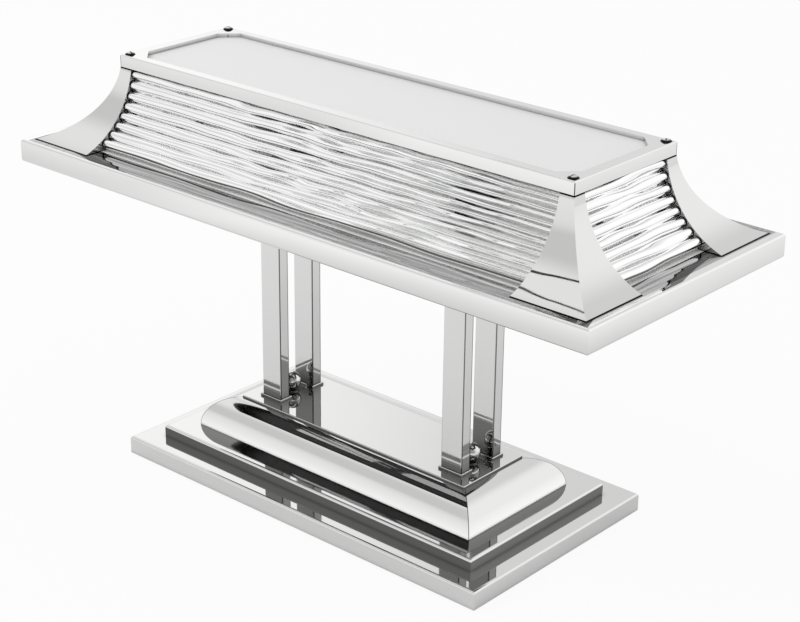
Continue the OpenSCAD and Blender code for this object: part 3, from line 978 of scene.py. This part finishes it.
@dataclass(frozen=True)
class Cove:
    """The hollow curve of the shade and the rods' places just behind it.

    Sizes in millimetres, as the solids have them.
    """

    run: float = 47.0
    radius: float = 68.0
    sheet: float = 1.0
    rod_d: float = 7.5
    slip: float = 0.1
    seat_gap: float = 0.05
    margin: float = 0.65
    count: int = 8

    def rods(self, half: float) -> list[tuple[float, float]]:
        """Place the rods of one side.

        Args:
            half: Distance of that side's top edge from the middle, in millimetres.

        Returns:
            Distance from the middle and height of each rod's centre, in metres.
        """
        z_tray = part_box("tray")[1].z / MM
        z_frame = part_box("top_frame")[0].z / MM
        rise = z_frame - z_tray
        chord = math.hypot(self.run, rise)
        reach = math.sqrt(self.radius**2 - chord**2 / 4)
        out = half + self.run / 2 + reach * rise / chord
        up = z_tray + rise / 2 + reach * self.run / chord
        bore = self.rod_d / 2 + self.slip
        seat = self.radius + self.sheet + bore + self.seat_gap
        first = math.asin((up - z_frame + bore + self.margin) / seat)
        last = math.asin((up - z_tray - bore - self.margin) / seat)
        places = []
        for i in range(self.count):
            a = first + (last - first) * i / (self.count - 1)
            places.append(((out - seat * math.cos(a)) * MM, (up - seat * math.sin(a)) * MM))
        return places


@dataclass
class RodCurtain:
    """One side's glass rods, each drawn slightly uneven, with fire-polished ends.

    The end is given as shares: how far along the eased length, and of the full radius.
    """

    side: Side
    cove: Cove = field(default_factory=Cove)
    around: int = 40
    step_mm: float = 2.0
    fewest_steps: int = 6
    uneven_mm: float = 1.0
    wave_count: int = 4
    wave_length: tuple[float, float] = (0.006, 0.020)
    phase_most: float = 6.28
    turns_most: int = 2
    bow_mm: float = 0.28
    ease_mm: float = 0.5
    end: tuple[tuple[float, float], ...] = ((0.0, 0.55), (0.15, 0.8), (0.5, 0.95))
    end_shade_mm: float = 1.5

    def build(self) -> bpy.types.Object:
        """Make the curtain's mesh in place of its solids.

        Returns:
            The new piece.
        """
        node, axis, sign = self.side.value
        low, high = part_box(node)
        half = (high[axis] - low[axis]) / 2
        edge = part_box("top_frame")[1][1 - axis] / MM
        draw = random.Random(node)
        verts: list[tuple[float, float, float]] = []
        faces: list[tuple[int, ...]] = []
        for away, height in self.cove.rods(edge):
            self.add_rod(verts, faces, axis, (sign * away, height), half, draw)
        mesh = bpy.data.meshes.new(node + "_drawn")
        mesh.from_pydata(verts, [], faces)
        mesh.shade_smooth()
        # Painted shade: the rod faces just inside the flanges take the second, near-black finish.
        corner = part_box("bracket_right_front")
        clear = (corner[0].x, -corner[1].y)[axis] - self.end_shade_mm * MM
        for face in mesh.polygons:
            face.material_index = int(abs(face.center[axis]) > clear)
        piece = bpy.data.objects.new(node + "_drawn", mesh)
        bpy.context.scene.collection.objects.link(piece)
        return piece

    def profile(self, half: float) -> list[tuple[float, float]]:
        """List the rings of a rod from end to end.

        Args:
            half: Half the rod's length, in metres.

        Returns:
            Each ring's place along the rod, in metres, and its share of the radius.
        """
        ease = self.ease_mm * MM
        steps = max(self.fewest_steps, round(2 * half / (self.step_mm * MM)))
        rings = [(-half + share * ease, radius) for share, radius in self.end]
        start = -half + ease
        rings += [(start + (2 * half - 2 * ease) * i / steps, 1.0) for i in range(steps + 1)]
        return rings + [(-along, radius) for along, radius in reversed(rings[: len(self.end)])]

    def add_rod(
        self,
        verts: list[tuple[float, float, float]],
        faces: list[tuple[int, ...]],
        axis: int,
        centre: tuple[float, float],
        half: float,
        draw: random.Random,
    ) -> None:
        """Add one rod to the curtain.

        Args:
            verts: The curtain's points so far.
            faces: Its faces so far.
            axis: The axis that the rod runs along.
            centre: Its centre along the other level axis and its height, in metres.
            half: Half its length, in metres.
            draw: Source of its unevenness.
        """
        radius = self.cove.rod_d / 2 * MM
        waves = [
            (
                draw.uniform(*self.wave_length),
                draw.uniform(0, self.phase_most),
                draw.randint(0, self.turns_most),
            )
            for _ in range(self.wave_count)
        ]
        bow = [draw.uniform(-1, 1) * self.bow_mm * MM for _ in range(2)]
        depth = self.uneven_mm * MM / self.wave_count
        rings = self.profile(half)
        start = len(verts)
        for along, share in rings:
            t = along / half
            bend = max(0.0, 1 - t * t)
            for k in range(self.around):
                a = 2 * math.pi * k / self.around
                swell = sum(
                    depth * math.sin(along / length + phase + turns * a)
                    for length, phase, turns in waves
                )
                r = (radius + swell * bend) * share
                point = [0.0, 0.0, 0.0]
                point[axis] = along
                point[1 - axis] = centre[0] + r * math.cos(a) + bow[0] * bend
                point[2] = centre[1] + r * math.sin(a) + bow[1] * bend
                verts.append(tuple(point))
        made = []
        for j in range(len(rings) - 1):
            for k in range(self.around):
                a = start + j * self.around + k
                b = start + j * self.around + (k + 1) % self.around
                made.append((a, b, b + self.around, a + self.around))
        made.append(tuple(reversed(range(start, start + self.around))))
        made.append(tuple(range(len(verts) - self.around, len(verts))))
        faces += made if axis == 1 else [face[::-1] for face in made]


@dataclass
class Group:
    """A sub-assembly whose solids keep their shape and take finishes."""

    title: str
    finishes: Finishes
    nodes: dict[str, Slot]

    def dress(self) -> None:
        """Give every solid of the group its finish."""
        for name, slot in self.nodes.items():
            self.finishes.dress(frame["nodes"][name], slot)
            log.info("%s: %s in %s", self.title, name, slot.value)


@dataclass
class Shade:
    """The four curtains of rods."""

    lengthwise: float = 0.03

    def build(self) -> None:
        """Draw the rods and hang them in the place of their solids."""
        glass = (
            ClearGlass("clear_glass_long", stretch=(self.lengthwise, 1, 1)).build(),
            ClearGlass("clear_glass_short", stretch=(1, self.lengthwise, 1)).build(),
        )
        # Painted shade: a near-black finish for the rods' ends at the flanges.
        painted_end_shade = PlainFinish("painted_end_shade", grey(0.01), grey(0.03), rough=(0.3, 0.5)).build()
        for side in Side:
            piece = RodCurtain(side).build()
            piece.data.materials.append(glass[side.value[1]])
            piece.data.materials.append(painted_end_shade)
            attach(piece, "lamp_body")
            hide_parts(side.value[0])
            log.info("shade: %s drawn", piece.name)


@dataclass(frozen=True)
class Camera:
    """The photograph's viewpoint, from a fit to the lamp's straight edges."""

    yaw: float = 41.183
    pitch: float = 22.929
    roll: float = 0.671
    focal_px: float = 1956.6
    place: tuple[float, float, float] = (0.86049, -0.96085, 0.68326)
    clip: tuple[float, float] = (0.01, 50.0)

    def axes(self) -> tuple[Vector, Vector, Vector]:
        """Work out where the camera's sides point.

        Returns:
            Its right, its up and its view direction.
        """
        yaw, pitch, roll = (math.radians(a) for a in (self.yaw, self.pitch, self.roll))
        view = Vector(
            (-math.sin(yaw) * math.cos(pitch), math.cos(yaw) * math.cos(pitch), -math.sin(pitch))
        )
        right = Vector((math.cos(yaw), math.sin(yaw), 0))
        up = right.cross(view)
        turned = math.cos(roll) * right + math.sin(roll) * up
        raised = -math.sin(roll) * right + math.cos(roll) * up
        return turned, raised, view

    def build(self) -> None:
        """Set the camera up."""
        right, up, view = self.axes()
        data = bpy.data.cameras.new("camera")
        data.sensor_fit = "HORIZONTAL"
        data.sensor_width = SENSOR_MM
        data.lens = self.focal_px / PHOTO_WIDTH * SENSOR_MM
        data.clip_start, data.clip_end = self.clip
        camera = bpy.data.objects.new("camera", data)
        columns = (right, up, -view)
        turn = Matrix([[c[i] for c in columns] for i in range(3)])
        camera.matrix_world = Matrix.Translation(self.place) @ turn.to_4x4()
        bpy.context.scene.collection.objects.link(camera)
        bpy.context.scene.camera = camera


@dataclass(frozen=True)
class Patch:
    """A patch of the sky: where it lies, where it begins and is full, and what it does there."""

    toward: tuple[float, float, float]
    begins: float
    full: float
    change: float

    def mark(self, s: Shader) -> Socket:
        """Mark the directions in the patch.

        Args:
            s: The world being made.

        Returns:
            A socket that goes smoothly from 0 to 1.
        """
        dot = s.add("VectorMath", operation="DOT_PRODUCT")
        s.join(s.add("TexCoord").outputs["Generated"], dot.inputs[0])
        s.join(self.toward, dot.inputs[1])
        ends = (self.begins, self.full)
        return s.ranged(dot.outputs["Value"], ends, interpolation_type="SMOOTHSTEP")


@dataclass(frozen=True)
class Studio:
    """White sweep and a soft surround that dims overhead and behind the camera.

    A boost adds its change to the sky, and of a dim patch its change is left.
    """

    floor_half: float = 6.0
    floor_drop: float = 0.0002
    floor_grey: float = 0.9
    white_share: float = 0.93
    glossy_share: float = 0.35
    through_share: float = 0.95
    near_floor: float = 0.5
    mid_floor: float = 0.7
    # Painted light on the floor in mirrors: the gain far away, and the share left far to the left.
    painted_far_gain: float = 1.36
    left_floor: tuple[float, float] = (-0.50, -0.68)
    painted_left_share: float = 0.72
    ambient: float = 0.80
    sky: float = 0.98
    boosts: tuple[Patch, ...] = (
        Patch((-0.756, 0.526, 0.39), 0.95, 0.998, 0.42),
        Patch((-0.62, -0.77, 0.14), 0.94, 0.995, 0.32),
        Patch((0.60, 0.69, 0.40), 0.75, 0.97, 0.30),
        Patch((-0.60, 0.0, 0.80), 0.88, 0.99, 0.20),
    )
    dims: tuple[Patch, ...] = (
        Patch((-0.606, -0.66, 0.44), 0.80, 0.97, 0.88),
        Patch((0.62, -0.75, 0.22), 0.55, 0.85, 0.45),
    )
    again: float = 0.30
    edge_height: float = 0.811
    edge_half: float = 0.0042
    edge_left: float = 0.05
    seen_through: float = 1.42
    key_watts: float = 24.0
    key_size: float = 1.6
    key_place: tuple[float, float, float] = (-1.3, -1.5, 2.4)
    key_aim: tuple[float, float, float] = (0, 0, 0.1)

    def build(self) -> None:
        """Make the world, the floor and the lamp, and set the view."""
        self.world()
        self.floor()
        self.key()
        scene = bpy.context.scene
        scene.view_settings.view_transform = "Standard"
        scene.cycles.max_bounces = 24
        scene.cycles.transmission_bounces = 20
        scene.cycles.glossy_bounces = 12
        scene.cycles.diffuse_bounces = 4

    def mirrored(self, s: Shader, path: bpy.types.NodeOutputs) -> Socket:
        """Mark rays that have met two mirrors and no glass.

        Args:
            s: The world being made.
            path: Outputs of its light path node.

        Returns:
            A socket that is 1 on such rays and 0 on others.
        """
        twice = s.calc("GREATER_THAN", path["Glossy Depth"], PAST_ONE)
        glassy = s.calc("ADD", path["Transmission Depth"], path["Is Singular Ray"])
        return s.calc("MULTIPLY", twice, s.calc("LESS_THAN", glassy, BELOW_ONE))

    def world(self) -> None:
        """White to the camera, a soft studio to everything else."""
        world = bpy.data.worlds.new("studio")
        bpy.context.scene.world = world
        s = Shader.on(world, "World")
        path = s.add("LightPath").outputs
        value: Feed = self.sky
        for boost in self.boosts:
            value = s.calc("MULTIPLY_ADD", boost.mark(s), boost.change, value)
        height = s.parted(s.add("TexCoord").outputs["Generated"])["Z"]
        edge = s.calc("COMPARE", height, self.edge_height, self.edge_half)
        marks = [(dim.mark(s), dim.change) for dim in self.dims]
        marks += [(self.mirrored(s, path), self.again), (edge, self.edge_left)]
        for mark, left in marks:
            value = s.calc("MULTIPLY", value, s.ranged(mark, (0.0, 1.0), (1.0, left)))
        value = s.between(path["Is Diffuse Ray"], value, self.ambient)
        value = s.between(path["Is Transmission Ray"], value, self.seen_through)
        light = s.add("Background")
        s.join(value, light.inputs["Strength"])
        seen = s.add("Background", Color=(1, 1, 1, 1))
        mix = s.add("MixShader")
        s.join(path["Is Camera Ray"], mix.inputs["Fac"])
        s.join(light.outputs["Background"], mix.inputs[1])
        s.join(seen.outputs["Background"], mix.inputs[2])
        s.close(mix.outputs["Shader"])

    def floor(self) -> None:
        """A white floor that keeps part of the lamp's shadow."""
        h = self.floor_half
        mesh = bpy.data.meshes.new("floor")
        mesh.from_pydata([(-h, -h, 0), (h, -h, 0), (h, h, 0), (-h, h, 0)], [], [(0, 1, 2, 3)])
        floor = bpy.data.objects.new("floor", mesh)
        bpy.context.scene.collection.objects.link(floor)
        floor.location.z = -self.floor_drop
        floor.data.materials.append(self.sweep())

    def sweep(self) -> Material:
        """Make the floor's material: lit, with a white of its own for camera, mirrors and glass;
        in mirrors that white is painted lighter away from the lamp and darker to the left.

        Returns:
            The finished material.
        """
        s = Shader.named("white_floor")
        lit = s.add("BsdfDiffuse", Color=(*grey(self.floor_grey), 1))
        white = s.add("Emission", Color=(1, 1, 1, 1))
        path = s.add("LightPath").outputs
        # Painted light and shadow on the floor that mirrors see: brighter with distance from the
        # lamp, dimmer to the left.
        away = s.add("VectorMath", operation="LENGTH")
        s.join(s.add("TexCoord").outputs["Object"], away.inputs[0])
        reach = (self.near_floor, self.mid_floor)
        swell = s.ranged(away.outputs["Value"], reach, (1.0, self.painted_far_gain))
        painted_left_fade = s.ranged(s.place()["X"], self.left_floor, (1.0, self.painted_left_share))
        painted_falloff_gain = s.calc("MULTIPLY", swell, painted_left_fade)
        s.join(s.between(path["Is Glossy Ray"], 1.0, painted_falloff_gain), white.inputs["Strength"])
        share = s.calc("MULTIPLY", path["Is Camera Ray"], self.white_share)
        share = s.calc("MULTIPLY_ADD", path["Is Glossy Ray"], self.glossy_share, share)
        share = s.calc(
            "MULTIPLY_ADD", path["Is Transmission Ray"], self.through_share, share, use_clamp=True
        )
        mix = s.add("MixShader")
        s.join(share, mix.inputs["Fac"])
        s.join(lit.outputs["BSDF"], mix.inputs[1])
        s.join(white.outputs["Emission"], mix.inputs[2])
        return s.close(mix.outputs["Shader"])

    def key(self) -> None:
        """One large soft lamp, high on the front left, kept out of the mirrors."""
        data = bpy.data.lights.new("key", "AREA")
        data.shape = "RECTANGLE"
        data.size = self.key_size
        data.size_y = self.key_size
        data.energy = self.key_watts
        lamp = bpy.data.objects.new("key", data)
        lamp.visible_glossy = False
        lamp.visible_transmission = False
        lamp.location = self.key_place
        aim = Vector(self.key_aim) - Vector(self.key_place)
        lamp.rotation_euler = aim.to_track_quat("-Z", "Y").to_euler()
        bpy.context.scene.collection.objects.link(lamp)


def named(prefixes: tuple[str, ...]) -> list[str]:
    """List the frame's nodes whose names start with one of the given words."""
    return sorted(n for n in frame["nodes"] if n.startswith(prefixes))


def main() -> None:
    """Build the lamp's looks and report each piece."""
    Camera().build()
    finishes = Finishes()
    finishes.build()
    slots = {entry["node"]: Slot(entry["material_slot"]) for entry in frame["record"]["subparts"]}
    titles = {
        "base": ("base", "cover", "stack", "cord", "terminal"),
        "switches": ("switch", "knob"),
        "posts": ("post", "flange", "tie"),
        "tray": ("tray", "crossbar", "pane"),
        "shade": ("bracket", "rods", "corner", "top", "glass", "frame"),
        "lamps": ("stand", "lampholder", "lamp_", "wires"),
    }
    for title, words in titles.items():
        Group(title, finishes, {n: slots[n] for n in named(words)}).dress()
    finishes.dress_with("tray", TrayNickel())
    finishes.dress_with("top_frame", FrameNickel())
    finishes.dress_with("top_glass", TopGlass())
    finishes.dress_with("base_moulding", MouldingNickel())
    finishes.dress_with("frame_screws", SlottedNickel())
    for name in named(("bracket_left", "bracket_right")):
        finishes.dress_with(name, BracketNickel())
    for name in named(("post_",)):
        finishes.dress_with(name, PostNickel(name))
    Shade().build()
    Studio().build()


if __name__ == "__main__":
    main()
